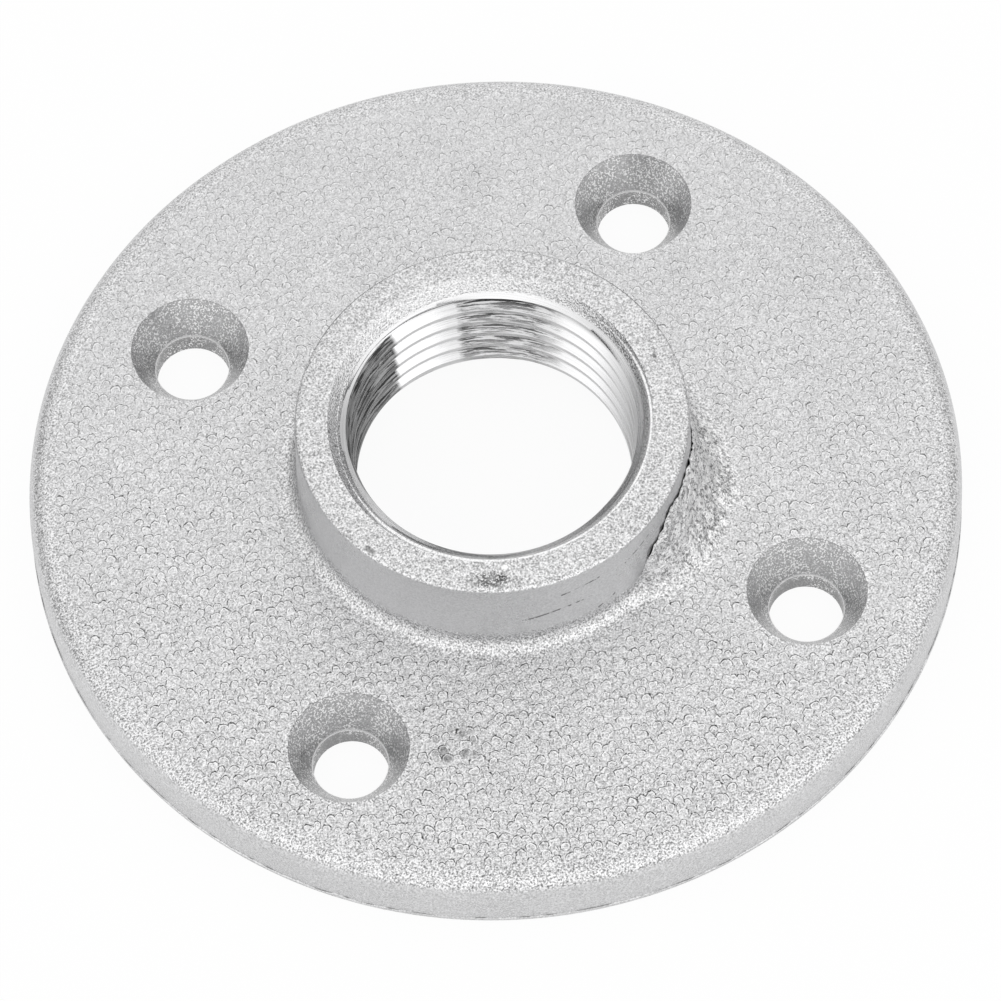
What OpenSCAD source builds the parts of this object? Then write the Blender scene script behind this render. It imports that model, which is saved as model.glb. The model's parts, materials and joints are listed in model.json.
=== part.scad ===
// Threaded floor flange: a round cast plate with a raised hub that takes the
// end of a pipe, and countersunk screw holes between the hub and the rim.
// It is one casting. It stands on its flat base, with the pipe axis on Z.

/* [Plate] */
// Diameter of the plate
plate_d = 80; // [74:0.5:120]
// Thickness of the plate, from the base to its top face
plate_t = 5.2; // [4.2:0.1:8]
// Radius of the rounded edge between the side of the plate and its top
rim_round = 1.7; // [0.4:0.1:2.4]
// Radius of the small round between the side of the plate and the base
foot_round = 0.3; // [0.1:0.05:0.8]

/* [Hub] */
// Height of the flange, from the base to the top face of the hub
height = 14; // [11:0.5:30]
// Diameter of the hub at its top face
hub_d = 33.2; // [30:0.1:38]
// Draft of the side of the hub, in degrees from the axis
hub_draft = 2; // [0.5:0.5:5]
// Radius of the fillet between the hub and the plate
root_fillet = 1.2; // [0.4:0.1:2.5]
// Radius of the small round on the outer edge of the top face
crown_round = 0.3; // [0.1:0.05:0.8]

/* [Casting lap] */
// Direction of the lap of excess metal at the foot of the hub, in degrees
lap_angle = -38; // [-180:1:180]
// How far the lap runs out over the plate from the side of the hub
lap_reach = 3.8; // [2:0.1:6]
// Depth of the top of the lap below the top face of the hub
lap_drop = 2.4; // [1:0.1:5]
// Diameter of the lap at the plate
lap_d = 23.4; // [12:0.2:28]

/* [Pipe socket] */
// Diameter of the bore, measured across the thread crests
bore_d = 24.1; // [18:0.1:26]
// Width of the cast bevel round the mouth, measured along the radius
bevel_w = 0.85; // [0.3:0.05:1.2]
// Depth of the cast bevel
bevel_depth = 1; // [0.3:0.05:2]
// Width and depth of the machined chamfer that leads into the thread
lead_in = 0.8; // [0.3:0.05:1.2]
// Width of the cone that relieves the bore at the base, along the radius
relief_w = 2.4; // [0.5:0.1:4]
// Depth of the cone that relieves the bore at the base
relief_depth = 3; // [0.5:0.1:4]

/* [Screw holes] */
// Number of screw holes
hole_count = 4; // [3:1:6]
// Diameter of the circle that the screw holes lie on
hole_circle_d = 58; // [56:0.5:64]
// Diameter of each screw hole below its countersink
hole_d = 6.2; // [3:0.1:8]
// Diameter of each countersink at the top face of the plate
sink_d = 10.2; // [8.5:0.1:11]
// Depth of each countersink
sink_depth = 3; // [1:0.1:4]

/* [Hidden] */
$fn = 180;

// How far a cut runs past the faces that it opens
over = 1;
// How far the lap runs on inside the plate and the hub
lap_seat = 0.5;
plate_r = plate_d / 2;
bore_r = bore_d / 2;
chamfer_r = bore_r + lead_in;
mouth_r = chamfer_r + bevel_w;
chamfer_top = height - bevel_depth;
// The first hole lies midway between X and Y when there are four
first_hole = 180 / hole_count;

// Radius of the drafted side of the hub at height z
function hub_side(z) = hub_d / 2 + (height - z) * tan(hub_draft);

// Radius of the centre of an arc of radius r at height z that touches the side
// of the hub, outside it for a fillet and inside it for a round
function outside_side(z, r) = hub_side(z) + r / cos(hub_draft);
function inside_side(z, r) = hub_side(z) - r / cos(hub_draft);

// Unit vector that points straight out from the side of the hub
side_normal = [cos(hub_draft), sin(hub_draft)];

// Half section of the plate, with both edges of its side rounded
module plate_section() {
    foot_centre = [plate_r - foot_round, foot_round];
    rim_centre = [plate_r - rim_round, plate_t - rim_round];
    polygon([
        [0, 0],
        [foot_centre.x, 0],
        [plate_r, foot_centre.y],
        [plate_r, rim_centre.y],
        [rim_centre.x, plate_t],
        [0, plate_t]
    ]);
    translate(foot_centre) circle(foot_round);
    translate(rim_centre) circle(rim_round);
}

// Half section of the hub, drafted, with its top edge rounded
module hub_section() {
    crown_z = height - crown_round;
    crown_centre = [inside_side(crown_z, crown_round), crown_z];
    polygon([
        [0, 0],
        [hub_side(0), 0],
        crown_centre + crown_round * side_normal,
        [crown_centre.x, height],
        [0, height]
    ]);
    translate(crown_centre) circle(crown_round);
}

// Section of the fillet that runs round the foot of the hub
module root_section() {
    fillet_z = plate_t + root_fillet;
    fillet_centre = [outside_side(fillet_z, root_fillet), fillet_z];
    side_point = fillet_centre - root_fillet * side_normal;
    difference() {
        polygon([
            side_point,
            [side_point.x - over, side_point.y],
            [side_point.x - over, plate_t - over],
            [fillet_centre.x, plate_t - over],
            fillet_centre
        ]);
        translate(fillet_centre) circle(root_fillet);
    }
}

// Lap of excess metal that ran up one side of the hub: a cone off the axis that
// rises out of the plate and dies away into the side of the hub
module lap() {
    top_z = height - lap_drop;
    foot_r = lap_d / 2;
    centre_x = hub_side(plate_t) + lap_reach - foot_r;
    top_r = hub_side(top_z) - centre_x;
    slope = (foot_r - top_r) / (top_z - plate_t);
    low_z = plate_t - lap_seat;
    high_z = top_z + lap_seat;
    rotate(lap_angle) translate([centre_x, 0, low_z]) cylinder(
        h = high_z - low_z,
        r1 = foot_r + slope * lap_seat,
        r2 = top_r - slope * lap_seat
    );
}

// The casting before the pipe socket and the screw holes are opened
module blank() {
    rotate_extrude() {
        plate_section();
        hub_section();
        root_section();
    }
    lap();
}

// A cone cut whose wall passes through radius r1 at z1 and r2 at z2, and which
// runs on past z2 on the same slope
module cone_cut(z1, r1, z2, r2) {
    past = z2 > z1 ? over : -over;
    slope = (r2 - r1) / (z2 - z1);
    r_end = r2 + slope * past;
    low = min(z1, z2 + past);
    translate([0, 0, low]) cylinder(
        h = abs(z2 + past - z1),
        r1 = z2 > z1 ? r1 : r_end,
        r2 = z2 > z1 ? r_end : r1
    );
}

// Bore of the thread, its chamfer and bevel at the mouth, and its relief below
module socket_cut() {
    translate([0, 0, -over]) cylinder(h = height + 2 * over, r = bore_r);
    cone_cut(chamfer_top - lead_in, bore_r, chamfer_top, chamfer_r);
    cone_cut(chamfer_top, chamfer_r, height, mouth_r);
    cone_cut(relief_depth, bore_r, 0, bore_r + relief_w);
}

// One screw hole with its countersink, on the Z axis
module screw_hole_cut() {
    translate([0, 0, -over]) cylinder(h = plate_t + 2 * over, d = hole_d);
    cone_cut(plate_t - sink_depth, hole_d / 2, plate_t, sink_d / 2);
}

// The flange: one casting, bored for the pipe and holed for its screws
module flange() {
    color([0.78, 0.78, 0.79])
    difference() {
        blank();
        socket_cut();
        for (i = [0 : hole_count - 1])
            rotate(first_hole + i * 360 / hole_count)
            translate([hole_circle_d / 2, 0, 0])
            screw_hole_cut();
    }
}

flange();
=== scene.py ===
"""Threaded floor flange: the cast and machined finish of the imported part.

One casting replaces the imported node. Its skin is one closed mesh: a beaded
plate, a hub with a lap of excess metal on one side, a tapped bore and four
countersunk screw holes. Lengths in the mesh code are in millimetres.
"""

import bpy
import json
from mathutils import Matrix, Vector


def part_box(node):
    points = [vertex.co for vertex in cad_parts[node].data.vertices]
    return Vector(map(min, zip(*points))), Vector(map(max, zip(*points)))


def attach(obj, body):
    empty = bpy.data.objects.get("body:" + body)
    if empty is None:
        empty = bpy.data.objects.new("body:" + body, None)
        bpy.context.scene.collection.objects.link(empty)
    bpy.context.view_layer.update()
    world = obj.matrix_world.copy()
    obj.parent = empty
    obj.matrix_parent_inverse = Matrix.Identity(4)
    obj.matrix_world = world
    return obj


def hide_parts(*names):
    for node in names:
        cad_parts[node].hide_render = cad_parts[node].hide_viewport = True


bl_info = {
    "name": "Threaded floor flange",
    "version": (1, 0, 0),
    "blender": (4, 5, 0),
    "location": "View3D > Sidebar > Flange",
    "description": "Builds the floor flange with its cast skin, tapped bore and stage",
    "category": "Object",
}

import json
import math

import bpy
import numpy as np
from bpy.props import FloatProperty, FloatVectorProperty, IntProperty, PointerProperty
from mathutils import Matrix, Vector
from mathutils.geometry import delaunay_2d_cdt

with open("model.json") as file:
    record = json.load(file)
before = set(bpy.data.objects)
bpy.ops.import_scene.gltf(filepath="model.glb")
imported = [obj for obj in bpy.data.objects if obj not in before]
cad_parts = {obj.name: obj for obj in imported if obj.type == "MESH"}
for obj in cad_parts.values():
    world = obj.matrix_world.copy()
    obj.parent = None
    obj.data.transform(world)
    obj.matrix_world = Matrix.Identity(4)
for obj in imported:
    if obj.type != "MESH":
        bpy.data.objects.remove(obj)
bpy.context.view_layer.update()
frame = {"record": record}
_, FLANGE_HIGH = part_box("flange")

MM = 0.001
TURN = 2 * math.pi
GOLDEN_ANGLE = math.pi * (3 - math.sqrt(5))
MOUNTS = {mount["name"]: mount["dims"] for mount in frame["record"]["mounts"]}
THREAD = MOUNTS["pipe_thread"]
HOLES = MOUNTS["screw_holes"]

# Columns of points round the axis and points spread over the flat faces
RIM_COLUMNS = 480
LAP_COLUMNS = 190
HUB_COLUMNS = 170
BORE_COLUMNS = 240
SINK_COLUMNS = 64
PLATE_POINTS = 62000
CROWN_POINTS = 1800

# Smallest and largest bead of the cast skin, as shares of the usual radius
BEAD_SHARES = (0.66, 1.04)

# Noise that moves the beads off their grid: scale, detail and reach
BEAD_DRIFTS = ((1.3, 1.5, 0.5), (4.0, 0.0, 0.1))

# Smooth patches where the metal flowed late: centre on the plate and radius
FLOW_PATCHES = (((3.9, 29.5), 2.6), ((-6.5, 23.7), 2.4), ((7.6, 24.2), 2.0))

# The dark beads and the uneven skin of the plate: centre and radius
DARK_BEADS = ((-12.3, -23.7), 2.8)
UNEVEN_SKIN = ((8.8, 27.6), 3.4)

# Top edge of the lap on the side of the hub: degrees round the axis, height
LAP_EDGE = (
    (-67, 6.4), (-63, 7.0), (-61, 8.4), (-58, 9.6), (-54, 10.3), (-50, 11.4), (-48, 12.0),
    (-41, 11.4), (-35, 11.8), (-30, 11.4), (-21, 9.6), (-10, 8.0), (10, 6.4),
)

# Degrees between which the lap lies, and between which it runs out furthest
LAP_SPAN = (-72, 16)
LAP_WIDEST = (-44, -32)

# Hairline cracks on the side of the hub: the ends of each, in degrees round the axis and height
HAIRLINES = (
    ((-102, 8.9), (-92, 9.4)),
    ((-92, 9.4), (-81, 9.6)),
    ((-90.5, 11.6), (-78, 11.9)),
    ((-79, 7.0), (-73, 7.7)),
    ((-69, 11.3), (-58, 12.4)),
)

# Width of the hairlines and of the scratch
LINE_WIDTH = 0.12

# Marks on the top face of the hub: middle, in degrees round the axis and radius, and half the size
CROWN_STAIN = ((-110.5, 15.4), (8.5, 0.9))
CROWN_SPECKS = (((-149.4, 16.05), (2.2, 0.3)), ((2.7, 14.9), (1.1, 0.22)))
CROWN_CHIP = ((-105.9, 14.25), (1.3, 0.24))

# The ends of the scratch on the top face of the hub, in the same way
CROWN_SCRATCH = ((-125.1, 15.2), (-120.7, 14.1))

# Stretches of the thread that the tap tore and that are painted with shade: first and last degree, rise and
# fade, strength of the streaks and of the painted shade
TORN_AND_SHADED_THREAD = ((40, 82, 14, 3, 0.85, 0.06), (112, 165, 2, 75, 0.55, 0.6))

# Flats of the thread at its crests and roots, as shares of one turn, and the row of points on a flank
THREAD_CREST = 0.22
THREAD_ROOT = 0.22
FLANK_STEP = 0.13

# How much wider the holes were drilled than stated, and how far towards the camera
HOLE_EXCESS = 0.08
HOLE_DRIFT = 0.1

# The camera, from the outlines in the photograph; it aims at a place right, away and up from the origin
CAMERA_AZIMUTH = math.radians(-17.7606)
CAMERA_ELEVATION = math.radians(61.3113)
CAMERA_ROLL = math.radians(-2.9012)
CAMERA_DISTANCE = 0.495256
CAMERA_LENS = 206.96
CAMERA_AIM = (0.000369, -0.000437, 0.000269)
CAMERA_RIGHT = (math.cos(CAMERA_AZIMUTH), math.sin(CAMERA_AZIMUTH), 0.0)
CAMERA_AWAY = (-math.sin(CAMERA_AZIMUTH), math.cos(CAMERA_AZIMUTH), 0.0)

# Soft lights: name, place to the right, away and up as the camera sees it, size and power
LAMPS = (
    ("top", 0.1, -0.1, 1.4, 0.9, 0.6),
    ("left", -0.85, -0.35, 1.0, 0.6, 0.5),
    ("right", 0.75, -0.45, 1.0, 0.6, 0.7),
)

# Half the width of the floor, how far below the base it lies, and the ways to its corners
FLOOR_REACH = 3.0
FLOOR_DROP = 0.0001
CORNER_WAYS = ((-1, -1), (1, -1), (1, 1), (-1, 1))


def length(name, description, millimetres):
    """A length for the sidebar, written here in millimetres and kept in metres."""
    return FloatProperty(
        name=name,
        description=description,
        default=millimetres * MM,
        min=0.0,
        precision=5,
        subtype="DISTANCE",
        unit="LENGTH",
    )


def colour(name, description, value):
    """A colour for the sidebar."""
    return FloatVectorProperty(
        name=name, description=description, default=value, size=3, min=0.0, max=1.0, subtype="COLOR"
    )


class FlangeSizes(bpy.types.PropertyGroup):
    """Sizes of the casting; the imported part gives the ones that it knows."""

    plate_radius: length("Plate radius", "From the axis to the side of the plate", FLANGE_HIGH[0] / MM)
    plate_thickness: length("Plate thickness", "From the base to the top face of the plate", 5.2)
    rim_round: length("Rim round", "Radius of the edge between the side and the top of the plate", 1.7)
    foot_round: length("Foot round", "Radius of the edge between the side and the base", 0.3)
    flash_height: length("Flash height", "Top of the strip of flash at the foot of the rim", 0.6)
    flash_step: length("Flash step", "How far the flash stands out from the rim", 0.07)
    height: length("Height", "From the base to the top face of the hub", FLANGE_HIGH[2] / MM)
    hub_radius: length("Hub radius", "Radius of the hub at its top face", 16.6)
    hub_draft: FloatProperty(
        name="Hub draft", description="Lean of the side of the hub", default=math.radians(2), subtype="ANGLE"
    )
    root_fillet: length("Root fillet", "Radius of the fillet round the foot of the hub", 1.2)
    crown_round: length("Crown round", "Radius of the outer edge of the hub's top face", 0.3)
    bore_radius: length("Bore radius", "Radius of the thread crests at the mouth", THREAD["r_mm"])
    lead_in: length("Lead-in", "Width and depth of the machined chamfer", 0.8)
    bevel_width: length("Bevel width", "Width of the cast bevel round the mouth", 0.85)
    bevel_depth: length("Bevel depth", "Depth of the cast bevel round the mouth", 1.0)
    bevel_offset: length("Bevel offset", "How far the cast bevel is off the axis of the bore", 0.15)
    relief_width: length("Relief width", "Width of the cone under the bore", 2.4)
    relief_depth: length("Relief depth", "Depth of the cone under the bore", 3.0)
    hole_circle: length("Hole circle", "Radius of the circle of screw holes", HOLES["pcd_mm"] / 2)
    hole_radius: length("Hole radius", "Radius of each screw hole", HOLES["hole_r_mm"])
    hole_count: IntProperty(
        name="Holes", description="Number of screw holes", default=HOLES["count"], min=1
    )
    sink_radius: length("Countersink radius", "Radius of each countersink at the top face", 5.1)
    sink_depth: length("Countersink depth", "Depth of each countersink", 3.0)
    lap_reach: length("Lap reach", "How much further than the fillet the lap runs over the plate", 2.8)
    lap_lip: length("Lap lip", "Gap between the top edge of the lap and the hub", 0.22)
    lap_gap_depth: length("Lap gap depth", "Depth of the gap behind the lap", 0.6)
    lap_lumps: length("Lap lumps", "Height of the lumps on the lap", 0.42)
    bead_radius: length("Bead radius", "Usual radius of the beads of the cast skin", 0.46)
    bead_height: length("Bead height", "Height of the beads of the cast skin", 0.05)
    thread_pitch: length("Thread pitch", "Height of one turn of the thread", 1.814)
    thread_depth: length("Thread depth", "Depth of the thread groove", 0.8)


class FlangeColours(bpy.types.PropertyGroup):
    """Colours of the metal, of its dark marks and painted shade, and of the floor."""

    cast: colour("Cast skin", "Metal as it was cast", (0.66, 0.66, 0.665))
    machined: colour("Machined thread", "Metal where the bore was cut", (0.74, 0.74, 0.745))
    # Dark colour of cracks, stains and dark beads, and also of the painted shade
    dirt: colour("Dirt", "Inside cracks and dark beads", (0.02, 0.02, 0.02))
    floor: colour("Floor", "The pale floor", (0.88, 0.88, 0.88))


def smooth_step(low, high, value):
    """Runs from 0 at low to 1 at high, with soft ends."""
    share = np.clip((value - low) / (high - low), 0.0, 1.0)
    return share * share * (3 - 2 * share)


def polar(points):
    """Radius and angle of each point round the axis."""
    x, y = points[:, 0], points[:, 1]
    return np.hypot(x, y), np.arctan2(y, x)


def near(points, centre, radius):
    """1 at a place on the plate, falling softly to 0 at the given distance."""
    return 1 - smooth_step(0.35 * radius, radius, polar(points[:, :2] - centre)[0])


def ripple(angles, seed, fewest, most):
    """An uneven line round the axis, from -1 to 1, that is the same on each run."""
    chance = np.random.default_rng(seed)
    total = np.zeros_like(angles)
    for waves in range(fewest, most + 1):
        total += chance.uniform(0.4, 1.0) * np.sin(waves * angles + chance.uniform(0, TURN))
    return total / np.abs(total).max()


def signed_degrees(angles):
    """Angles in degrees, from -180 to 180."""
    return (np.degrees(angles) + 180) % 360 - 180


def round_angles(columns):
    """Evenly spaced angles round the axis."""
    return np.arange(columns) * TURN / columns


def ring(radius, height, angles, centre=(0.0, 0.0)):
    """Points round an axis; radius and height may change from point to point."""
    level = np.zeros_like(angles) + height
    return np.stack(
        [centre[0] + radius * np.cos(angles), centre[1] + radius * np.sin(angles), level], axis=-1
    )


def spiral(inner, outer, count):
    """Points spread evenly over a flat ring, as in the head of a sunflower."""
    order = np.arange(count)
    radius = np.sqrt(inner**2 + (order + 0.5) / count * (outer**2 - inner**2))
    angle = order * GOLDEN_ANGLE
    return np.stack([radius * np.cos(angle), radius * np.sin(angle)], axis=-1)


class Skin:
    """Patches of one closed surface, joined where the points of their edges meet."""

    # Marks kept on the points: painted shade in gaps, steps and holes, and wear with painted highlights on
    # edges
    MARKS = ("dirt", "worn")

    def __init__(self):
        self.points = []
        self.faces = []
        self.machined = []
        self.marks = {name: [] for name in self.MARKS}
        self.total = 0

    def add(self, points, faces, machined, marks):
        """One patch; each face has four corners, and a triangle repeats its last one."""
        self.points.append(points)
        self.faces.append(faces + self.total)
        self.machined.append(np.full(len(faces), machined))
        for name, values in self.marks.items():
            values.append(np.broadcast_to(marks.get(name, 0.0), len(points)))
        self.total += len(points)

    def lathe(self, rows, machined=False, closed=True, **marks):
        """A patch turned round an axis, from rows along its section."""
        rows = np.asarray(rows)
        row_count, columns = rows.shape[:2]
        index = np.arange(row_count * columns).reshape(row_count, columns)
        if closed:
            index = np.concatenate([index, index[:, :1]], axis=1)
        corners = [index[:-1, :-1], index[:-1, 1:], index[1:, 1:], index[1:, :-1]]
        faces = np.stack([corner.ravel() for corner in corners], axis=-1)
        self.add(rows.reshape(-1, 3), faces, machined, marks)

    def flat(self, loops, inside, level, upward=True):
        """A flat patch inside the first loop and outside the others, with points in it."""
        loop_ends = np.cumsum([len(loop) for loop in loops])
        outline = np.concatenate([loop[:, :2] for loop in loops])
        points = np.concatenate([outline, inside]) if len(inside) else outline
        edges = []
        for end, loop in zip(loop_ends, loops):
            start = end - len(loop)
            edges += [(start + i, start + (i + 1) % len(loop)) for i in range(len(loop))]
        result = delaunay_2d_cdt([Vector(point) for point in points], edges, [], 0, 1e-6)
        if len(result[0]) != len(points):
            raise RuntimeError("The outlines of a flat face cross each other")
        triangles = np.array(result[2])
        owner = np.full(len(points), -1)
        for number, (end, loop) in enumerate(zip(loop_ends, loops)):
            owner[end - len(loop):end] = number
        a, b, c = triangles.T
        same = (owner[a] == owner[b]) & (owner[b] == owner[c]) & (owner[a] > 0)
        in_order = ((a < b) & (b < c)) | ((b < c) & (c < a)) | ((c < a) & (a < b))
        triangles = triangles[~(same & in_order)]
        if not upward:
            triangles = triangles[:, ::-1]
        faces = np.concatenate([triangles, triangles[:, 2:]], axis=1)
        heights = np.full((len(points), 1), float(level))
        self.add(np.concatenate([points, heights], axis=1), faces, False, {})

    def joined(self):
        """Points, faces, the machined mark of each face and the marks of each point."""
        points = np.concatenate(self.points)
        keys = np.round(points * 1e4).astype(np.int64)
        _, first, group = np.unique(keys, axis=0, return_index=True, return_inverse=True)
        group = group.ravel()
        marks = {}
        for name, values in self.marks.items():
            marks[name] = np.zeros(len(first))
            np.maximum.at(marks[name], group, np.concatenate(values))
        faces = []
        machined = []
        cut = np.concatenate(self.machined)
        for corners, mark in zip(group[np.concatenate(self.faces)].tolist(), cut.tolist()):
            kept = list(dict.fromkeys(corners))
            if len(kept) > 2:
                faces.append(kept)
                machined.append(mark)
        check_closed(faces)
        return points[first], faces, np.array(machined), marks


def check_closed(faces):
    """Stops the script if an edge of the skin doesn't lie between two faces."""
    pairs = []
    for corners in faces:
        pairs += zip(corners, corners[1:] + corners[:1])
    _, uses = np.unique(np.sort(np.array(pairs), axis=1), axis=0, return_counts=True)
    if (uses != 2).any():
        raise RuntimeError(f"The skin has {int((uses != 2).sum())} open edges")


class Section:
    """The sizes of the flange in millimetres, and the lines that follow from them."""

    def __init__(self, sizes):
        for name in FlangeSizes.__annotations__:
            value = getattr(sizes, name)
            is_length = name not in ("hole_count", "hub_draft")
            setattr(self, name, value / MM if is_length else value)
        self.chamfer_radius = self.bore_radius + self.lead_in
        self.mouth_radius = self.chamfer_radius + self.bevel_width
        self.chamfer_top = self.height - self.bevel_depth
        self.thread_top = self.chamfer_top - self.lead_in
        self.relief_slope = self.relief_width / self.relief_depth
        self.taper = 1 / 32
        # Height at which the tapered crests meet the cone of the relief
        self.thread_foot = (self.relief_slope * self.relief_depth + self.taper * self.thread_top) / (
            self.relief_slope + self.taper
        )
        self.fillet_top = self.plate_thickness + self.root_fillet

    def hub_side(self, height):
        """Radius of the drafted side of the hub."""
        return self.hub_radius + (self.height - height) * math.tan(self.hub_draft)

    def hole_centres(self):
        """Centres of the screw holes, the first midway between X and Y."""
        angles = round_angles(self.hole_count) + math.pi / self.hole_count
        return [(self.hole_circle * math.cos(angle), self.hole_circle * math.sin(angle)) for angle in angles]

    def from_sinks(self, points):
        """How far each point is, seen from above, from the edge of the nearest countersink."""
        away = [polar(points[:, :2] - centre)[0] for centre in self.hole_centres()]
        return np.min(away, axis=0) - self.sink_radius

    def hub_angles(self):
        """Angles of the hub's columns, closer together over the lap."""
        first, last = LAP_SPAN
        over_lap = np.linspace(first, last, LAP_COLUMNS, endpoint=False)
        elsewhere = np.linspace(last, first + 360, HUB_COLUMNS, endpoint=False)
        return np.radians(np.concatenate([over_lap, elsewhere]))

    def lap_top(self, angles):
        """Height at which the fillet or the lap ends on the side of the hub."""
        degrees = signed_degrees(angles)
        marks = np.array(LAP_EDGE, dtype=float)
        top = np.interp(degrees, marks[:, 0], marks[:, 1])
        share = self.lap_share(top)
        return top + share * 0.22 * ripple(angles, 5, 40, 190)

    def lap_share(self, top):
        """How much of a lap there is below a given top edge, from 0 to 1."""
        return smooth_step(0.0, 2.8, top - self.fillet_top)

    def root_reach(self, angles):
        """How far the fillet or the lap runs out over the plate."""
        degrees = signed_degrees(angles)
        share = smooth_step(LAP_SPAN[0], LAP_WIDEST[0], degrees)
        share = share * (1 - smooth_step(LAP_WIDEST[1], LAP_SPAN[1], degrees))
        uneven = 0.88 + 0.12 * ripple(angles, 9, 12, 60)
        return self.root_fillet + share * self.lap_reach * uneven

    def root_radius(self, angles):
        """Radius at which the fillet or the lap leaves the plate."""
        return self.hub_side(self.plate_thickness) + self.root_reach(angles)


def rim_rows(section, angles):
    """The side of the plate, from the base over the flash to the edge of the top, and the painted shade along
    the flash.
    """
    uneven = 0.03 * ripple(angles, 1, 2, 14)
    dashes = 0.6 * smooth_step(0.02, 0.2, ripple(angles, 3, 25, 140))
    flash = section.flash_height + 0.16 * ripple(angles, 2, 6, 90)
    side = section.plate_radius - section.flash_step + uneven - 0.03
    foot = section.foot_round
    rows = []
    for turn in np.linspace(0, math.pi / 2, 4):
        radius = section.plate_radius - foot + foot * math.sin(turn)
        rows.append(ring(radius, foot - foot * math.cos(turn), angles))
    rows.append(ring(section.plate_radius, flash - 0.06, angles))
    flash_row = len(rows)
    rows.append(ring(side + 0.02, flash, angles))
    rows.append(ring(side, flash + 0.1, angles))
    edge_start = section.plate_thickness - section.rim_round
    for height in (1.1, 1.9, 2.7, edge_start):
        rows.append(ring(side, height, angles))
    for turn in np.linspace(0, math.pi / 2, 8)[1:]:
        share = math.sin(turn)
        round_off = section.rim_round * (1 - math.cos(turn))
        sag = (side - section.plate_radius) * (1 - share)
        height = edge_start + section.rim_round * share
        rows.append(ring(section.plate_radius - round_off + sag, height, angles))
    dirt = np.zeros((len(rows), len(angles)))
    # Painted shade in dashes along the step of the flash
    dirt[flash_row] = dashes
    return rows, dirt.ravel()


def hub_rows(section, angles):
    """The side of the hub, from the plate over the lap to the top face, its painted shade and the wear of its
    nicks.
    """
    top = section.lap_top(angles)
    share = section.lap_share(top)
    reach = section.root_reach(angles)
    gap = share * section.lap_lip * np.maximum(0.6 + 0.9 * ripple(angles, 12, 30, 130), 0.03)
    rows = []
    for along in np.linspace(0, 1, 24):
        turn = along * math.pi / 2
        rise = (1 - math.cos(turn)) * (1 - share) + along**1.7 * share
        stand = (1 - math.sin(turn)) * (1 - share) + (1 - along) ** 1.15 * share
        height = section.plate_thickness + (top - section.plate_thickness) * rise
        out = reach * stand + gap * smooth_step(0.5, 1.0, along)
        rows.append(ring(section.hub_side(height) + out, height, angles))
    gap_row = len(rows)
    deep = top - share * section.lap_gap_depth
    back = top + 0.05 + 0.1 * share
    rows.append(ring(section.hub_side(top) + 0.8 * gap, top + 0.05 * share, angles))
    rows.append(ring(section.hub_side(deep) + 0.03 * share, deep, angles))
    rows.append(ring(section.hub_side(back), back, angles))
    crown = section.crown_round
    crown_foot = section.height - crown
    for along in np.linspace(0, 1, 10)[1:]:
        height = back + (crown_foot - back) * along
        rows.append(ring(section.hub_side(height), height, angles))
    for turn in np.linspace(0, math.pi / 2, 5)[1:]:
        radius = section.hub_side(crown_foot) - crown * (1 - math.cos(turn))
        rows.append(ring(radius, crown_foot + crown * math.sin(turn), angles))
    degrees = signed_degrees(angles)
    nicks = smooth_step(-100, -95, degrees) * (1 - smooth_step(-70, -62, degrees))
    nicks = 0.6 * nicks * smooth_step(0.1, 0.3, ripple(angles, 7, 50, 140))
    dirt = np.zeros((len(rows), len(angles)))
    # Painted shade in the gap behind the lap
    dirt[gap_row:gap_row + 3] = np.outer((0.2, 1.0, 0.25), share)
    # Painted shade along the far edge of the top face
    dirt[-5:-2] = 0.65 * smooth_step(0.2, 0.7, np.sin(angles - CAMERA_AZIMUTH))
    worn = np.zeros_like(dirt)
    worn[-3] = nicks
    return rows, dirt.ravel(), worn.ravel()


def bevel_rows(section, angles):
    """The cast bevel of the mouth with the narrow ledge that wanders along it, and its painted highlights.

    The bevel is a little off the axis of the bore. The ledge is widest on the near right.
    """
    off_side = CAMERA_AZIMUTH + math.pi
    far_side = CAMERA_AZIMUTH + math.pi / 2
    # The ledge is painted bright as a highlight, most on the near right; the far side gets a fainter painted
    # highlight
    strength = smooth_step(-0.3, 0.4, np.cos(angles - math.radians(-75)))
    painted_highlight = 0.45 * strength * (1 + 0.5 * ripple(angles, 8, 2, 30))
    ledge = 0.5 + 0.36 * np.cos(angles - math.radians(120))
    half = 0.02 + 0.1 * strength
    lit = 0.22 * smooth_step(0.2, 0.9, np.cos(angles - far_side - 0.4))
    levels = (
        (0 * ledge, 0 * ledge, lit),
        (0.5 * (ledge - half), 0.5 * ledge, lit),
        (ledge - half, ledge, np.maximum(lit, painted_highlight)),
        (ledge + half, ledge, np.maximum(lit, painted_highlight)),
        (0.5 * (ledge + half + 1), 0.5 * (ledge + 1), lit),
        (1 + 0 * ledge, 1 + 0 * ledge, lit),
    )
    rows = []
    for inward, down, _ in levels:
        shift = section.bevel_offset * (1 - inward) * np.cos(angles - off_side)
        radius = section.mouth_radius - section.bevel_width * inward + shift
        rows.append(ring(radius, section.height - section.bevel_depth * down, angles))
    return rows, np.concatenate([worn for _, _, worn in levels])


def thread_rows(section):
    """Rows that climb round the bore with the thread, cut off at its two ends."""
    angles = np.append(round_angles(BORE_COLUMNS), TURN)
    turned = angles / TURN
    turned[-1] = 1.0
    highest = math.ceil(section.thread_top / section.thread_pitch) + 1
    lowest = math.floor(section.thread_foot / section.thread_pitch) - 2
    crest = THREAD_CREST / 2
    root = THREAD_ROOT / 2
    flank = crest + FLANK_STEP
    bends = (0.0, crest, flank, 0.5 - root, 0.5, 0.5 + root, 1 - flank, 1 - crest)
    rows = []
    for turn in range(highest, lowest - 1, -1):
        for phase in reversed(bends):
            height = section.thread_pitch * (turn + phase + turned)
            height = np.clip(height, section.thread_foot, section.thread_top)
            rows.append(ring(section.bore_radius, height, angles))
    return rows


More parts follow.
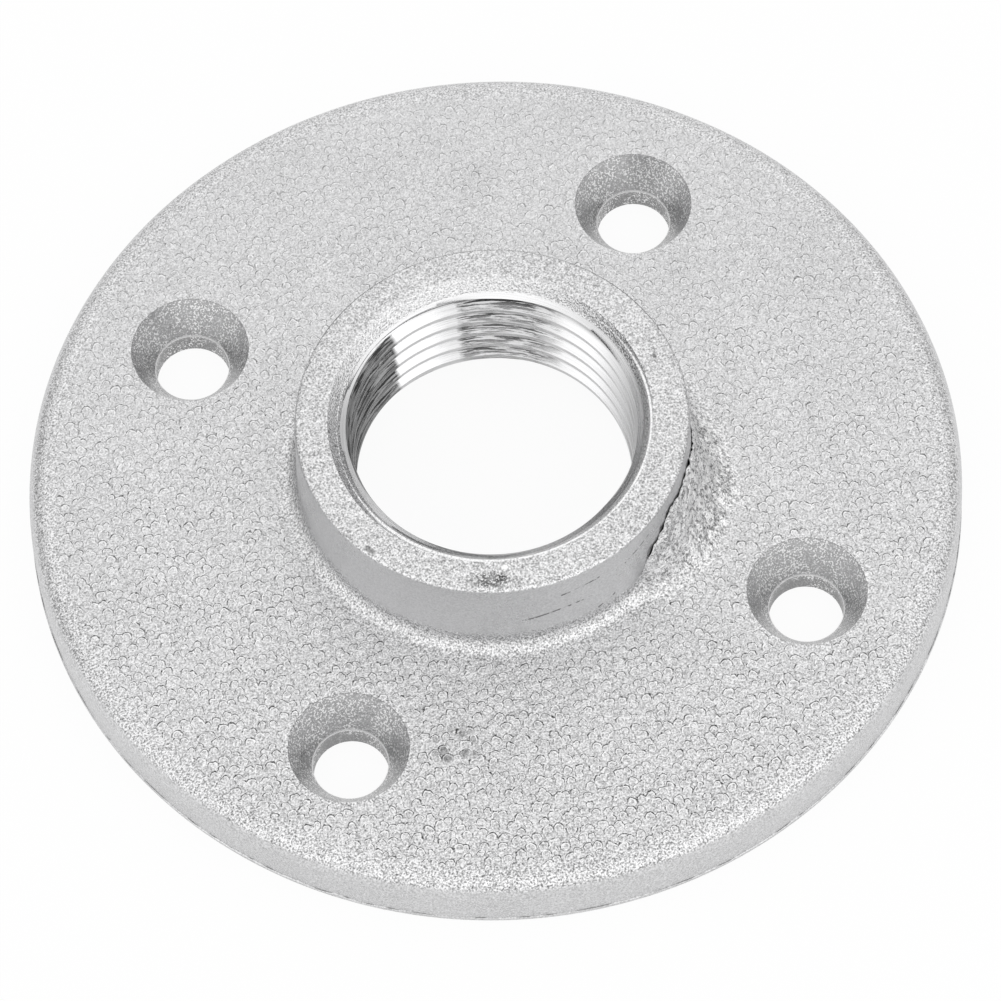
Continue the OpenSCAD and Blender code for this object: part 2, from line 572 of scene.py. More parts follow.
def bead_strength(section, points):
    """How strong the beads are at points of the plate, from 0 to 1."""
    radius, angle = polar(points)
    strength = smooth_step(-0.2, 0.9, radius - section.root_radius(angle))
    strength = strength * (0.3 + 0.7 * smooth_step(1.6, 3.2, section.plate_radius - radius))
    strength = strength * smooth_step(-0.2, 0.7, section.from_sinks(points))
    for centre, size in FLOW_PATCHES:
        strength = strength * (1 - 0.75 * near(points, centre, size))
    return strength


def plate_points(section, edge_radius):
    """Points spread over the plate's top face, clear of its edges."""
    points = spiral(section.hub_radius, edge_radius, PLATE_POINTS)
    radius, angle = polar(points)
    keep = (radius > section.root_radius(angle) + 0.16) & (radius < edge_radius - 0.15)
    return points[keep & (section.from_sinks(points) > 0.15)]


def cone_rows(first, last, count, angles):
    """Rows along a cone, from one radius and height to another."""
    return [ring(radius, height, angles) for radius, height in np.linspace(first, last, count)]


def screw_hole_path(section):
    """Section of a screw hole from the top down: radius, height, drift, painted highlight and painted shade.
    """
    top = section.plate_thickness
    foot = top - section.sink_depth
    drilled = section.hole_radius + HOLE_EXCESS
    path = []
    for along in (0.0, 0.015, 0.2, 0.4, 0.6, 0.8, 0.95):
        radius = section.sink_radius + (drilled - section.sink_radius) * along
        path.append((radius, top + (foot - top) * along, along, 0.0, 0.0))
    # A painted highlight along the edge where the countersink meets the drilled hole
    path.append((drilled + 0.03, foot + 0.04, 1.0, 1.0, 0.0))
    path.append((drilled, foot - 0.02, 1.0, 1.0, 0.0))
    # Painted shade on the drilled wall below that edge
    path.append((drilled, foot - 0.1, 1.0, 0.0, 0.3))
    for height in (1.5, 0.8, 0.1):
        path.append((drilled, height, 1.0, 0.0, 0.36))
    path.append((drilled + 0.1, 0.0, 1.0, 0.0, 0.36))
    return path


def cast_skin(section):
    """The closed skin of the flange, with its bore still plain."""
    skin = Skin()
    rim_angles = round_angles(RIM_COLUMNS)
    hub_angles = section.hub_angles()
    bore_angles = round_angles(BORE_COLUMNS)
    sink_angles = round_angles(SINK_COLUMNS)

    rim, rim_shade = rim_rows(section, rim_angles)
    hub, hub_shade, hub_worn = hub_rows(section, hub_angles)
    bevel, bevel_highlight = bevel_rows(section, bore_angles)
    skin.lathe(rim, dirt=rim_shade)
    skin.lathe(hub, dirt=hub_shade, worn=hub_worn)
    skin.lathe(bevel, worn=bevel_highlight)

    bore = section.bore_radius
    mouth = (section.chamfer_radius, section.chamfer_top)
    chamfer = cone_rows(mouth, (bore, section.thread_top), 5, bore_angles)
    # A painted highlight on the far side of the chamfer
    far_side = smooth_step(0.3, 0.9, np.sin(bore_angles - CAMERA_AZIMUTH - 0.4))
    skin.lathe(chamfer, machined=True, worn=np.tile(far_side, len(chamfer)))
    skin.lathe(thread_rows(section), machined=True, closed=False)
    foot = section.thread_foot
    foot_radius = bore + section.relief_slope * (section.relief_depth - foot)
    relief = cone_rows((foot_radius, foot), (bore + section.relief_width, 0.0), 9, bore_angles)
    relief[0] = ring(bore, foot, bore_angles)
    skin.lathe(relief, machined=True)

    sink_tops = []
    sink_feet = []
    sink_path = screw_hole_path(section)
    worn = np.repeat([painted_highlight for _, _, _, painted_highlight, _ in sink_path], SINK_COLUMNS)
    dirt = np.repeat([dark for _, _, _, _, dark in sink_path], SINK_COLUMNS)
    near_side = -HOLE_DRIFT * np.array(CAMERA_AWAY[:2])
    for centre in section.hole_centres():
        rows = []
        for radius, height, drift, _, _ in sink_path:
            rows.append(ring(radius, height, sink_angles, centre + drift * near_side))
        skin.lathe(rows, worn=worn, dirt=dirt)
        sink_tops.append(rows[0])
        sink_feet.append(rows[-1])

    spread = plate_points(section, polar(rim[-1])[0][0])
    skin.flat([rim[-1], hub[0]] + sink_tops, spread, section.plate_thickness)

    crown = spiral(section.mouth_radius - 0.3, section.hub_radius, CROWN_POINTS)
    radius, angle = polar(crown)
    inner = np.interp(angle % TURN, bore_angles, polar(bevel[0])[0], period=TURN)
    keep = (radius > inner + 0.12) & (radius < polar(hub[-1])[0][0] - 0.12)
    skin.flat([hub[-1], bevel[0]], crown[keep], section.height)

    skin.flat([rim[0], relief[-1]] + sink_feet, np.zeros((0, 2)), 0.0, upward=False)
    return skin.joined()


def set_values(mesh, name, values, kind="FLOAT", domain="POINT"):
    """Keeps one value for each point or face of the mesh under a name."""
    layer = mesh.attributes.new(name=name, type=kind, domain=domain)
    layer.data.foreach_set("value", values)


def skin_masks(section, points):
    """What the finish of each point is: how lumpy, beaded, gritty and uneven, and where the sinks are."""
    height = points[:, 2]
    radius, angle = polar(points)
    over_plate = height - section.plate_thickness
    to_rim = section.plate_radius - radius
    root = section.root_radius(angle)
    lap_top = section.lap_top(angle)
    lap_share = section.lap_share(lap_top)
    by_hub = 1 - smooth_step(root - 1.6, root + 0.3, radius)
    by_hub = by_hub * (0.25 + 0.75 * smooth_step(-56, -32, np.degrees(angle)))
    over_root = 1 - smooth_step(root - 1.0, root + 1.6, radius)
    under_lap = 1 - smooth_step(lap_top - 0.5, lap_top - 0.1, height)
    lap = lap_share * over_root * under_lap * (radius > section.hub_radius) * (over_plate > -0.3)
    hub_wall = (height > lap_top + 0.05) * (radius > section.hub_radius - 0.25)
    hub_wall = hub_wall * (height < section.height - 0.12)
    rim_wall = (1 - smooth_step(0.4, 1.0, to_rim)) * (over_plate < -0.6)
    smooth = np.maximum(hub_wall, 0.8 * rim_wall)
    sinks = 1.0 * (section.from_sinks(points) < 0.01) * (over_plate < -0.01)
    coarse_side = -(points @ np.array(CAMERA_AWAY)) / section.plate_radius
    on_plate = (np.abs(over_plate) < 0.3) * smooth_step(root, root + 0.8, radius)
    on_plate = on_plate * smooth_step(1.7, 2.8, to_rim)
    crown = height > section.height - 0.02
    grit = (1 + 0.25 * coarse_side) * (1 - 0.88 * smooth) * (1 - 0.1 * crown)
    grit = grit * (1 + 0.2 * on_plate * (coarse_side - 0.6))
    return {
        "lap": lap,
        "crumbled": smooth_step(0.1, 0.6, lap) * (0.12 + 0.88 * by_hub),
        "plate": on_plate,
        "bead": on_plate * bead_strength(section, points),
        "sink": sinks,
        "grit": grit * (1 - sinks),
        "deep": near(points, *DARK_BEADS),
        "rough": near(points, *UNEVEN_SKIN),
    }


def arithmetic(operation, swapped=False):
    """A method of a value for one step of arithmetic with another, which comes first if swapped."""

    def method(value, other=0.0):
        sides = (other, value) if swapped else (value, other)
        return value.graph.math(operation, *sides)

    return method


class Value:
    """A socket of a node tree that is reckoned with like a number."""

    __add__ = arithmetic("ADD")
    __sub__ = arithmetic("SUBTRACT")
    __rsub__ = arithmetic("SUBTRACT", swapped=True)
    __mul__ = arithmetic("MULTIPLY")
    __truediv__ = arithmetic("DIVIDE")
    __rtruediv__ = arithmetic("DIVIDE", swapped=True)
    __lt__ = arithmetic("LESS_THAN")
    __gt__ = arithmetic("GREATER_THAN")
    __abs__ = arithmetic("ABSOLUTE")

    def __init__(self, graph, socket):
        self.graph = graph
        self.socket = socket

    def span(self, low, high, first=0.0, last=1.0, soft=False):
        """Moves the value from one range to another and stops it at the ends."""
        ends = {0: self, 1: low, 2: high, 3: first, 4: last}
        kind = "SMOOTHSTEP" if soft else "LINEAR"
        return self.graph.value("ShaderNodeMapRange", ends, interpolation_type=kind)


class Graph:
    """Adds nodes to a tree and joins them; an input takes a value of the tree or a plain one."""

    def __init__(self, tree):
        self.nodes = tree.nodes
        self.links = tree.links

    def feed(self, socket, value):
        """Joins a value of the tree to an input, or sets the input's own value."""
        if isinstance(value, Value):
            self.links.new(value.socket, socket)
        else:
            socket.default_value = value

    def add(self, kind, inputs=None, **settings):
        """A new node with its settings made and its inputs fed by name or place."""
        node = self.nodes.new(kind)
        for name, value in settings.items():
            setattr(node, name, value)
        for key, value in (inputs or {}).items():
            self.feed(node.inputs[key], value)
        return node

    def value(self, kind, inputs=None, output=0, **settings):
        """One value that a new node gives."""
        return Value(self, self.add(kind, inputs, **settings).outputs[output])

    def values(self, kind, inputs=None, **settings):
        """All values that a new node gives, by name."""
        outputs = self.add(kind, inputs, **settings).outputs
        return {socket.name: Value(self, socket) for socket in outputs}

    def math(self, operation, first, second=0.0, clamp=False):
        """One step of arithmetic."""
        return self.value("ShaderNodeMath", {0: first, 1: second}, operation=operation, use_clamp=clamp)

    def most(self, first, *others):
        """The largest of some values."""
        for other in others:
            first = self.math("MAXIMUM", first, other)
        return first

    def vector(self, operation, first, second=(0.0, 0.0, 0.0), output="Vector"):
        """One step of arithmetic on vectors."""
        return self.value("ShaderNodeVectorMath", {0: first, 1: second}, output, operation=operation)

    def scaled(self, vector, factor):
        """A vector made longer or shorter."""
        return self.value("ShaderNodeVectorMath", {0: vector, "Scale": factor}, operation="SCALE")

    def parts(self, vector):
        """The three numbers of a vector or a colour."""
        return list(self.values("ShaderNodeSeparateXYZ", {0: vector}).values())

    def noise(self, place, scale, detail=2.0, roughness=0.5, output=0):
        """Cloudy noise, about 0 to 1; its second output is a colour."""
        looks = {"Vector": place, "Scale": scale, "Detail": detail, "Roughness": roughness}
        return self.value("ShaderNodeTexNoise", looks, output)

    def blend(self, share, first, second):
        """A colour between two others."""
        return self.value("ShaderNodeMix", {0: share, 6: first, 7: second}, 2, data_type="RGBA")


def new_tree(name, labels):
    """A Geometry Nodes tree that takes a mesh, some numbers and a material, and gives a mesh."""
    tree = bpy.data.node_groups.new(name, "GeometryNodeTree")
    sockets = [("Geometry", "INPUT", "Geometry"), ("Geometry", "OUTPUT", "Geometry")]
    sockets += [(label, "INPUT", "Float") for label in labels]
    sockets.append(("Material", "INPUT", "Material"))
    for label, way, kind in sockets:
        tree.interface.new_socket(name=label, in_out=way, socket_type="NodeSocket" + kind)
    graph = Graph(tree)
    return tree, graph, graph.values("NodeGroupInput")


def named(graph, name, kind="FLOAT"):
    """Reads a value kept on the mesh."""
    return graph.value("GeometryNodeInputNamedAttribute", {"Name": name}, data_type=kind)


def finish_tree(graph, mesh, material, selection=True):
    """Ends a tree: real geometry with its material."""
    real = graph.value("GeometryNodeRealizeInstances", {0: mesh})
    dressed = {"Geometry": real, "Selection": selection, "Material": material}
    graph.add("NodeGroupOutput", {"Geometry": graph.value("GeometryNodeSetMaterial", dressed)})


def bead_cells(graph, place, radius):
    """The bead at a place: how far out from its middle, its chances, and the way from the middle."""
    flat = graph.vector("MULTIPLY", place, (1.0, 1.0, 0.0))
    bent = flat
    for scale, detail, reach in BEAD_DRIFTS:
        drift = graph.vector("SUBTRACT", graph.noise(flat, scale, detail, output=1), (0.5, 0.5, 0.5))
        bent = graph.vector("ADD", bent, graph.scaled(drift, reach))
    spread = {"Vector": bent, "Scale": 0.5 / radius, "Randomness": 0.8}
    cells = graph.values("ShaderNodeTexVoronoi", spread, voronoi_dimensions="2D")
    chances = graph.parts(cells["Color"])
    out = cells["Distance"] * 2.0 / chances[0].span(0.0, 1.0, *BEAD_SHARES)
    return out, chances, graph.vector("SUBTRACT", bent, cells["Position"])


def beaded_skin_tree():
    """Raises the beads of the plate and the lumps of the lap."""
    tree, graph, given = new_tree("Beaded skin", ("Radius", "Height", "Lumps"))
    place = graph.scaled(graph.value("GeometryNodeInputPosition"), 1 / MM)
    out, _, _ = bead_cells(graph, place, given["Radius"] / MM)
    dome = graph.math("SQRT", graph.math("SUBTRACT", 1.0, out * out, clamp=True))
    bead = dome * named(graph, "bead") * given["Height"]
    swell = (graph.noise(place, 0.16, 1.0) - 0.5) * (0.06 * MM) * named(graph, "plate")
    lump = (graph.noise(place, 0.9, 4.0, 0.62) - 0.46) * (named(graph, "lap") * given["Lumps"]) * 2.2
    offset = graph.scaled(graph.value("GeometryNodeInputNormal"), swell + bead + lump)
    moved = graph.value("GeometryNodeSetPosition", {"Geometry": given["Geometry"], "Offset": offset})
    finish_tree(graph, moved, given["Material"])
    return tree


def pipe_thread_tree():
    """Cuts the tapered pipe thread into the bore; the mouth and relief cones stay."""
    labels = ("Bore radius", "Thread top", "Pitch", "Depth", "Taper", "Relief depth", "Relief slope")
    tree, graph, given = new_tree("Pipe thread", labels)
    place = graph.value("GeometryNodeInputPosition")
    x, y, z = graph.parts(place)
    flat = graph.vector("MULTIPLY", place, (1.0, 1.0, 0.0))
    radius = graph.vector("LENGTH", flat, output="Value")
    turns = z / given["Pitch"] - graph.math("ARCTAN2", y, x) / TURN
    off_root = abs(graph.math("FRACT", turns) - 0.5)
    groove = off_root.span(THREAD_ROOT / 2, 0.5 - THREAD_CREST / 2, 1.0, 0.0)
    below = given["Thread top"] - z
    cut = given["Bore radius"] - below * given["Taper"] + groove * given["Depth"]
    chamfer = given["Bore radius"] - below
    relief = given["Bore radius"] + (given["Relief depth"] - z) * given["Relief slope"]
    wall = graph.most(cut, chamfer, relief)
    lift = graph.vector("MULTIPLY", place, (0.0, 0.0, 1.0))
    target = graph.vector("ADD", graph.scaled(flat, wall / radius), lift)
    moves = {"Geometry": given["Geometry"], "Selection": named(graph, "bored", "BOOLEAN"), "Position": target}
    moved = graph.value("GeometryNodeSetPosition", moves)
    finish_tree(graph, moved, given["Material"], named(graph, "machined", "BOOLEAN"))
    return tree


def add_tree(piece, tree, values):
    """Puts a tree on a piece and sets its inputs by the identifier of each socket."""
    modifier = piece.modifiers.new(tree.name, "NODES")
    modifier.node_group = tree
    for socket in tree.interface.items_tree:
        if socket.in_out == "INPUT" and socket.name in values:
            modifier[socket.identifier] = values[socket.name]


def new_material(name):
    """A material, its tree, its shader, and coordinates in millimetres with what follows from them."""
    material = bpy.data.materials.new(name)
    material.use_nodes = True
    graph = Graph(material.node_tree)
    shader = material.node_tree.nodes["Principled BSDF"]
    place = graph.scaled(graph.value("ShaderNodeTexCoord", output="Object"), 1 / MM)
    x, y, level = graph.parts(place)
    degrees = graph.math("DEGREES", graph.math("ARCTAN2", y, x))
    radius = graph.vector("LENGTH", graph.value("ShaderNodeCombineXYZ", {0: x, 1: y}), output="Value")
    return material, graph, shader, place, level, degrees, radius


def painted(graph, name):
    """Reads a value kept on the mesh, in a material."""
    return graph.value("ShaderNodeAttribute", output="Fac", attribute_name=name)


def set_metal(graph, shader, tint, rough, height):
    """Makes a shader bare metal with a colour, a roughness and a fine relief."""
    bump = graph.value("ShaderNodeBump", {"Strength": 1.0, "Distance": 1.0, "Height": height})
    for name, value in (("Base Color", tint), ("Metallic", 1.0), ("Roughness", rough), ("Normal", bump)):
        graph.feed(shader.inputs[name], value)


def thin_line(across, along, first, last):
    """1 on a straight line from one place to another, 0 beside it and past its ends."""
    (start, low), (end, high) = first, last
    off = abs(across - along.span(start, end, low, high))
    return (along > start) * off.span(0.5 * LINE_WIDTH, LINE_WIDTH, 1.0, 0.0) * (along < end)


def spot(degrees, radius, centre, reach):
    """1 in the middle of a mark on the top face of the hub, falling to 0 round it."""
    across = (degrees - centre[0]) / reach[0]
    out = (radius - centre[1]) / reach[1]
    return (across * across + out * out).span(0.4, 1.0, 1.0, 0.0)


def crown_marks(graph, place, on_crown, degrees, radius):
    """Dark stain, specks and scratch on the top face of the hub, and its bright chip."""
    speckle = graph.noise(place, 6.2, 1.0, 0.6).span(0.49, 0.54, 1.0, 0.0)
    clump = graph.noise(place, 0.9, 1.0).span(0.42, 0.58, 1.0, 0.6)
    dark = spot(degrees, radius, *CROWN_STAIN) * speckle * clump * 0.9
    for centre, reach in CROWN_SPECKS:
        dark = graph.most(dark, spot(degrees, radius, centre, reach) * 0.55)
    dark = graph.most(dark, thin_line(radius, degrees, *CROWN_SCRATCH) * 0.35)
    return dark * on_crown, spot(degrees, radius, *CROWN_CHIP) * on_crown


def hub_cracks(graph, place, level, degrees):
    """The broken hairline cracks on the side of the hub."""
    lines = [thin_line(level, degrees, first, last) for first, last in HAIRLINES]
    gaps = graph.noise(place, 2.0, 2.0).span(0.47, 0.53)
    return graph.most(*lines) * gaps * 0.8


def cast_material(section, colours):
    """Blasted cast metal: grainy, beaded on the plate, smooth on the rim and hub side."""
    material, graph, shader, place, level, degrees, radius = new_material("Cast skin")
    lap, uneven, grit, bead = (painted(graph, name) for name in ("lap", "rough", "grit", "bead"))
    grain = graph.noise(place, 6.4, 1.0)
    clouds = graph.noise(place, 0.13, 3.0)
    crumbs = graph.noise(place, 2.4, 3.0, 0.6)
    patches = graph.noise(place, 0.6)
    wrinkles = graph.noise(place, 2.7, 2.0, 0.65)
    flecks = graph.values("ShaderNodeTexVoronoi", {"Vector": place, "Scale": 7.0}, voronoi_dimensions="3D")
    fleck = graph.parts(flecks["Color"])[0]

    # Painted shade and highlight on each bead: a dark line round its far side and a pale one inside that
    out, chances, way = bead_cells(graph, place, section.bead_radius)
    far = graph.vector("DOT_PRODUCT", way, CAMERA_AWAY, "Value")
    painted_bead_shade = graph.math("COSINE", (out - 1.0) * (TURN / 0.52)).span(-1.0, 1.0, -0.55, 0.8)
    painted_bead_shade = painted_bead_shade * out.span(1.1, 1.25, 1.0, 0.0) * out.span(0.5, 0.7) * (grit * bead)
    painted_bead_shade = painted_bead_shade * far.span(-0.25, 0.2, 0.2, 1.0) * chances[1].span(0.0, 0.6, 0.6, 1.0)

    stains, chip = crown_marks(graph, place, level > section.height - 0.4, degrees, radius)
    pits = out.span(0.6, 1.1, 1.0, 0.0) * bead * painted(graph, "deep") * 0.5 * chances[2].span(0.25, 0.45)
    folds = abs(crumbs - 0.46).span(0.0, 0.025, 0.75, 0.0) * patches.span(0.48, 0.55) * lap.span(0.5, 0.8)
    # Painted shade kept on the points: behind the lap, along the flash, on the far edge of the hub's top and
    # in the drilled holes
    dirt = painted(graph, "dirt").span(0.15, 0.7)
    dark = graph.most(dirt, pits, hub_cracks(graph, place, level, degrees), folds, stains)

    # The grain's tone follows its bump: painted shade in the hollows and painted highlight on the tops
    grain_tone_and_shade = grain.span(0.28, 0.72, -0.58, 0.58) * grit * bead.span(0.0, 1.0, 1.0, 0.64)
    # Painted glints on the countersink walls, which are also painted darker as shaded recesses
    sink_glints_and_shade = grain.span(0.53, 0.62, 0.0, 1.9) * patches.span(0.42, 0.56, 0.25, 1.0) - 0.26
    # Bright flecks of fresh metal on the lap, raised by painted light that lifts its slopes out of their
    # shade
    fresh_and_lifted = wrinkles.span(0.43, 0.57, -0.25, 1.4) * painted(graph, "crumbled")
    # The chip and the wear of the nicks, with painted highlights on the bevel and hole edges
    bright = graph.most(chip, painted(graph, "worn") * 1.2)
    shade = clouds.span(0.3, 0.7, 0.97, 1.03) + fleck.span(0.0, 1.0, -0.1, 0.1)
    shade = shade + grain_tone_and_shade + sink_glints_and_shade * painted(graph, "sink") - painted_bead_shade - uneven * 0.03 + fresh_and_lifted + bright
    tint = graph.scaled(tuple(colours.cast), graph.most(shade, 0.1))

    height = grain * grit * (0.06 * MM) + crumbs * graph.most(lap, uneven * 0.3) * (0.22 * MM)
    rough = clouds.span(0.3, 0.7, 0.32, 0.38) + fleck.span(0.0, 1.0, -0.08, 0.06)
    set_metal(graph, shader, graph.blend(dark, tint, (*colours.dirt, 1.0)), rough, height)
    return material


def machined_material(section, colours):
    """Cut metal with the fine lines of the tap, painted shade along the roots, and darker stretches of torn
    metal and painted shade.
    """
    material, graph, shader, _, level, degrees, _ = new_material("Machined bore")
    angle = graph.math("RADIANS", degrees)
    climb = level - angle * (section.thread_pitch / TURN)
    turned = {0: graph.math("COSINE", angle), 1: graph.math("SINE", angle), 2: climb}
    round_bore = graph.value("ShaderNodeCombineXYZ", turned)
    lines = graph.noise(graph.vector("MULTIPLY", round_bore, (1.6, 1.6, 16.0)), 1.0, 3.0, 0.6)
    streak_noise = graph.noise(graph.vector("MULTIPLY", round_bore, (5.0, 5.0, 15.0)), 1.0, 4.0, 0.65)

    # Painted shade in the roots: dark lines, wider on the right and faint where the thread is brightest
    phase = graph.math("FRACT", climb / section.thread_pitch)
    off_root = abs(phase - 0.5)
    threaded = level < section.thread_top - 0.1
    fine = off_root.span(0.09, 0.18, 0.7, 0.0) * threaded * abs(degrees - 98.0).span(12, 22, 0.4, 1.0)
    wide = off_root.span(0.11, 0.23, 0.75, 0.0) * threaded * abs(degrees).span(30, 50, 1.0, 0.0)

    # Darker stretches: streaks of torn metal with painted shade just below the roots, and painted shade over
    # each stretch
    torn_and_shaded = 0.0
    painted_thread_shade = 0.0
    for first, last, rise, fade, streak_strength, dark in TORN_AND_SHADED_THREAD:
        past = degrees + (degrees < first - 90) * 360.0
        stretch = past.span(first, first + rise) * past.span(last, last + fade, 1.0, 0.0)
        torn_and_shaded = graph.most(torn_and_shaded, stretch * streak_strength)
        painted_thread_shade = graph.most(painted_thread_shade, stretch * dark)
    under_root = phase.span(0.1, 0.3) * phase.span(0.5, 0.6, 1.0, 0.0)
    streaks = streak_noise.span(0.48, 0.58) * (torn_and_shaded * threaded * under_root.span(0.0, 1.0, 0.45, 1.0))

    shade = lines.span(0.3, 0.7, 0.86, 1.1) - graph.most(fine, wide) - streaks * 0.85
    # Painted shade over the darker stretches, and a painted highlight on the far side of the chamfer
    shade = shade - painted_thread_shade * threaded + painted(graph, "worn") * 0.3
    tint = graph.scaled(tuple(colours.machined), graph.most(shade, 0.06))
    height = lines * (0.012 * MM) - streaks * (0.03 * MM)
    set_metal(graph, shader, tint, lines.span(0.3, 0.7, 0.16, 0.3), height)
    return material


class FLANGE_OT_casting(bpy.types.Operator):
    """Builds the casting with its beaded skin and its tapped bore"""

    bl_idname = "flange.casting"
    bl_label = "Build the flange"
    bl_options = {"REGISTER", "UNDO"}

    def execute(self, context):
        sizes = context.scene.flange_sizes
        colours = context.scene.flange_colours
        section = Section(sizes)
        points, faces, machined, marks = cast_skin(section)
        draft = bpy.data.meshes.new("casting_draft")
        draft.from_pydata((points * MM).tolist(), [], faces)
        marks.update(skin_masks(section, points))
        for name, values in marks.items():
            set_values(draft, name, values)
        set_values(draft, "machined", machined, "BOOLEAN", "FACE")
        bored = np.zeros(len(points), dtype=bool)
        for corners, mark in zip(faces, machined):
            if mark:
                bored[corners] = True
        set_values(draft, "bored", bored, "BOOLEAN")

        piece = bpy.data.objects.new("casting", draft)
        context.scene.collection.objects.link(piece)
        beads = {"Radius": sizes.bead_radius, "Height": sizes.bead_height, "Lumps": sizes.lap_lumps}
        beads["Material"] = cast_material(section, colours)
        add_tree(piece, beaded_skin_tree(), beads)
        thread = {
            "Bore radius": sizes.bore_radius,
            "Thread top": section.thread_top * MM,
            "Pitch": sizes.thread_pitch,
            "Depth": sizes.thread_depth,
            "Taper": section.taper,
            "Relief depth": sizes.relief_depth,
            "Relief slope": section.relief_slope,
            "Material": machined_material(section, colours),
        }
        add_tree(piece, pipe_thread_tree(), thread)
        depsgraph = context.evaluated_depsgraph_get()
        mesh = bpy.data.meshes.new_from_object(piece.evaluated_get(depsgraph), depsgraph=depsgraph)
        piece.modifiers.clear()
        piece.data = mesh
        mesh.name = "casting"
        mesh.shade_smooth()
        mesh.set_sharp_from_angle(angle=math.radians(38))
        if len(mesh.materials) < 2:
            raise RuntimeError("The bore did not get its own material")
        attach(piece, "root")
        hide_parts("flange")
        return {"FINISHED"}


def seen_way(right, away, up):
    """A place or a way as the camera sees it: to the right, away from it and up."""
    return Vector(CAMERA_RIGHT) * right + Vector(CAMERA_AWAY) * away + Vector((0.0, 0.0, up))


def add_lamp(name, right, away, up, size, power):
    """A square soft light placed as the camera sees it, aimed at the flange."""
    place = seen_way(right, away, up)
    lamp = bpy.data.lights.new(name, "AREA")
    lamp.size = size
    lamp.energy = power
    holder = bpy.data.objects.new(name, lamp)
    holder.location = place
    holder.rotation_euler = place.to_track_quat("Z", "Y").to_euler()
    bpy.context.scene.collection.objects.link(holder)


def floor_material(tint):
    """A pale floor that looks white and still takes the shadow of the flange."""
    material = bpy.data.materials.new("Pale floor")
    material.use_nodes = True
    graph = Graph(material.node_tree)
    material.node_tree.nodes.clear()
    matt = graph.value("ShaderNodeBsdfDiffuse", {"Color": (*tint, 1.0)})
    glow = graph.value("ShaderNodeEmission", {"Strength": 1.0})
    path = graph.values("ShaderNodeLightPath")
    seen = graph.most(path["Is Camera Ray"], path["Is Transmission Ray"])
    share = graph.most(seen * 0.94, path["Is Glossy Ray"] * 0.5)
    mixed = graph.value("ShaderNodeMixShader", {0: share, 1: matt, 2: glow})
    graph.add("ShaderNodeOutputMaterial", {"Surface": mixed})
    return material


def studio_light(graph, way):
    """How bright the studio is each way: dimmer low down and towards the back on both sides."""
    axes = (CAMERA_RIGHT, CAMERA_AWAY, (0.0, 0.0, 1.0))
    right, away, up = (graph.vector("DOT_PRODUCT", way, axis, "Value") for axis in axes)
    level = up.span(0.0, 0.35, 0.84, 1.0) + away.span(0.3, -0.4, 0.0, 0.06)
    left_dim = right.span(-0.3, -0.85, 0.0, 0.5, soft=True)
    right_dim = right.span(0.3, 0.85, 0.0, 0.36, soft=True)
    behind = away.span(-0.05, 0.35, soft=True)
    return level * (1.0 - (left_dim + right_dim) * behind)


def new_camera():
    """The camera, where the photograph was taken from."""
    right = Vector(CAMERA_RIGHT)
    back_way = seen_way(0.0, -math.cos(CAMERA_ELEVATION), math.sin(CAMERA_ELEVATION))
    upright = back_way.cross(right)
    level_x = right * math.cos(CAMERA_ROLL) + upright * math.sin(CAMERA_ROLL)
    level_y = upright * math.cos(CAMERA_ROLL) - right * math.sin(CAMERA_ROLL)
    lens = bpy.data.cameras.new("camera")
    lens.sensor_width = 36.0
    lens.lens = CAMERA_LENS
    lens.clip_start = 0.01
    camera = bpy.data.objects.new("camera", lens)
    turn = Matrix((level_x, level_y, back_way)).transposed()
    eye = seen_way(*CAMERA_AIM) + back_way * CAMERA_DISTANCE
    camera.matrix_world = Matrix.Translation(eye) @ turn.to_4x4()
    return camera


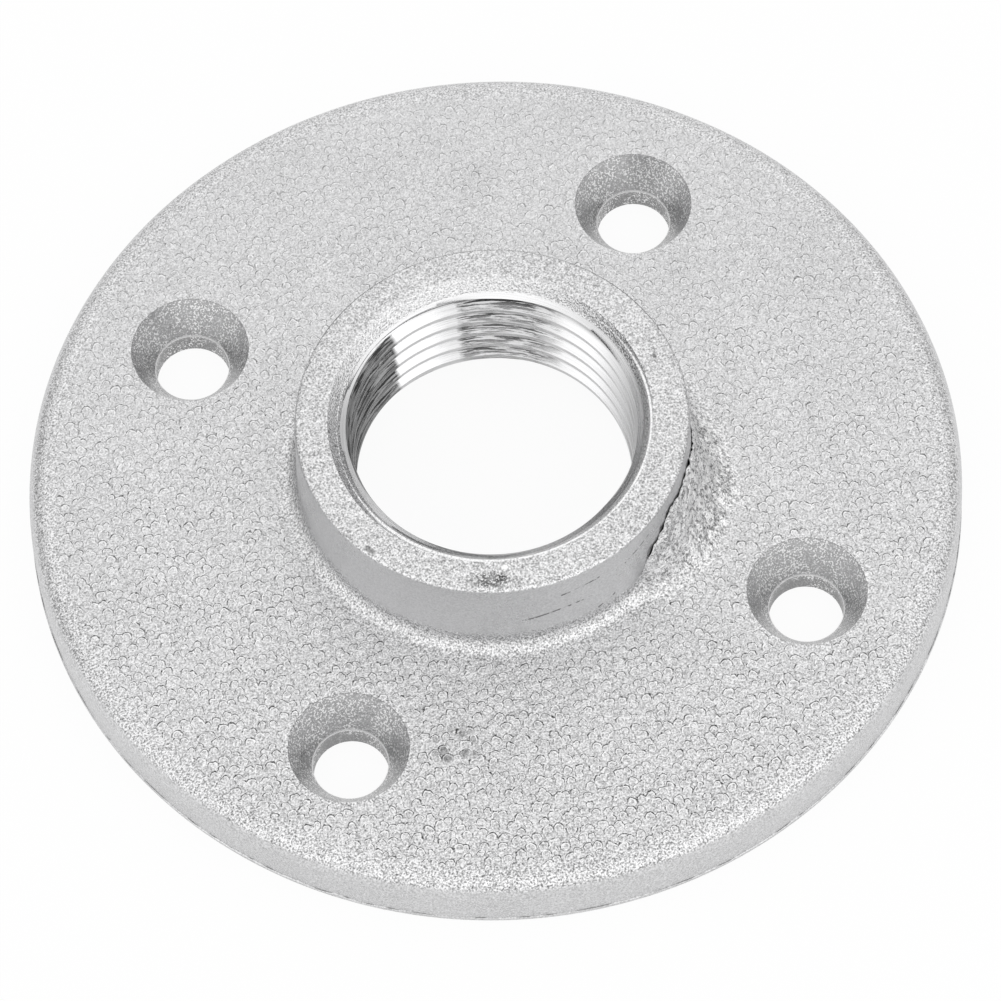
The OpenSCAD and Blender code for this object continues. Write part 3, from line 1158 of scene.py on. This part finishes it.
class FLANGE_OT_stage(bpy.types.Operator):
    """Sets out the floor, the light and the camera"""

    bl_idname = "flange.stage"
    bl_label = "Set the stage"
    bl_options = {"REGISTER", "UNDO"}

    def execute(self, context):
        scene = context.scene
        scene.view_settings.view_transform = "Standard"
        mesh = bpy.data.meshes.new("floor")
        corners = [(FLOOR_REACH * x, FLOOR_REACH * y, -FLOOR_DROP) for x, y in CORNER_WAYS]
        mesh.from_pydata(corners, [], [(0, 1, 2, 3)])
        mesh.materials.append(floor_material(tuple(scene.flange_colours.floor)))
        floor = bpy.data.objects.new("floor", mesh)
        scene.collection.objects.link(floor)

        world = bpy.data.worlds.new("Studio")
        world.use_nodes = True
        graph = Graph(world.node_tree)
        back = world.node_tree.nodes["Background"]
        back.inputs["Color"].default_value = (1.0, 1.0, 1.0, 1.0)
        way = graph.value("ShaderNodeTexCoord", output="Generated")
        graph.feed(back.inputs["Strength"], studio_light(graph, way))
        scene.world = world
        for lamp in LAMPS:
            add_lamp(*lamp)

        camera = new_camera()
        scene.collection.objects.link(camera)
        scene.camera = camera
        return {"FINISHED"}


class FLANGE_PT_panel(bpy.types.Panel):
    """Steps, sizes and colours of the flange"""

    bl_idname = "FLANGE_PT_panel"
    bl_label = "Threaded floor flange"
    bl_space_type = "VIEW_3D"
    bl_region_type = "UI"
    bl_category = "Flange"

    def draw(self, context):
        column = self.layout.column()
        column.operator(FLANGE_OT_casting.bl_idname)
        column.operator(FLANGE_OT_stage.bl_idname)
        for group in (context.scene.flange_sizes, context.scene.flange_colours):
            box = self.layout.box()
            for name in group.__annotations__:
                box.prop(group, name)


CLASSES = (FlangeSizes, FlangeColours, FLANGE_OT_casting, FLANGE_OT_stage, FLANGE_PT_panel)


def register():
    """Makes the classes and their settings known to Blender."""
    for entry in CLASSES:
        bpy.utils.register_class(entry)
    bpy.types.Scene.flange_sizes = PointerProperty(type=FlangeSizes)
    bpy.types.Scene.flange_colours = PointerProperty(type=FlangeColours)


def unregister():
    """Takes the classes and their settings out again."""
    del bpy.types.Scene.flange_colours
    del bpy.types.Scene.flange_sizes
    for entry in reversed(CLASSES):
        bpy.utils.unregister_class(entry)


def main():
    """Builds the flange and its stage."""
    register()
    bpy.ops.flange.casting()
    bpy.ops.flange.stage()


if __name__ == "__main__":
    main()
